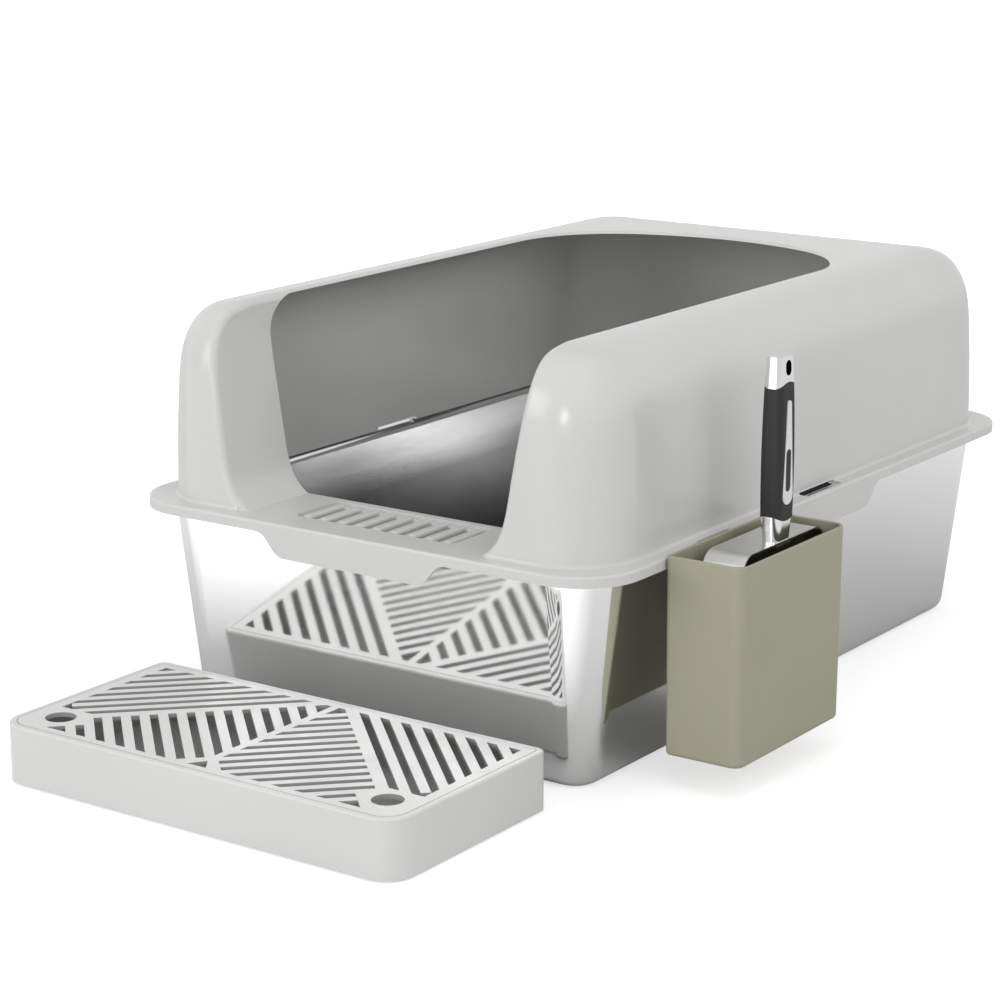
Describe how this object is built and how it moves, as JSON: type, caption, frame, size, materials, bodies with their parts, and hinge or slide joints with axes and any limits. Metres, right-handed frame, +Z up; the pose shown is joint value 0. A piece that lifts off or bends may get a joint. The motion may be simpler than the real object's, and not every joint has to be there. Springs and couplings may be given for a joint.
{
  "type": "litter box",
  "caption": "High-sided litter box: polished steel pan, lift-off grey plastic guard with a low entry, slotted step, and a scoop standing in a bin hooked on the side.",
  "frame": {"origin": "centre of the pan's underside, on the floor", "axes": "+X to the side with the scoop, +Y from the entry to the back, +Z up"},
  "size_m": [0.4605, 0.7671, 0.2934],
  "materials": {
    "pan_steel": "mirror polished",
    "grey_plastic": "satin",
    "sage_plastic": "fine matte",
    "scoop_steel": "polished",
    "grip_rubber": "soft touch",
    "silver_plastic": "satin silver",
    "pad_rubber": "matte"
  },
  "bodies": {
    "pan": {"steel_pan": "pan_steel"},
    "guard": {"guard": "grey_plastic"},
    "holder": {"scoop_holder": "sage_plastic"},
    "scoop": {"scoop_blade": "scoop_steel", "scoop_tang": "scoop_steel", "scoop_ferrule": "scoop_steel", "scoop_grip": "grip_rubber", "scoop_inlays": "silver_plastic", "scoop_inlay_inserts": "grip_rubber", "scoop_end_cap": "scoop_steel"},
    "step": {"step_base": "grey_plastic", "step_pads": "pad_rubber"},
    "cover": {"step_cover": "grey_plastic"}
  },
  "joints": [
    {"name": "guard_lift", "type": "slide", "parent": "pan", "child": "guard", "axis": [0, 0, 1], "range_m": [0, 0.12]},
    {"name": "holder_lift", "type": "slide", "parent": "guard", "child": "holder", "axis": [0, 0, 1], "range_m": [0, 0.06]},
    {"name": "scoop_lift", "type": "slide", "parent": "holder", "child": "scoop", "axis": [0, 0, 1], "range_m": [0, 0.16]},
    {"name": "step_slide", "type": "slide", "parent": "pan", "child": "step", "axis": [0, -1, 0], "range_m": [0, 0.2]},
    {"name": "cover_lift", "type": "slide", "parent": "step", "child": "cover", "axis": [0, 0, 1], "range_m": [0, 0.06]}
  ]
}
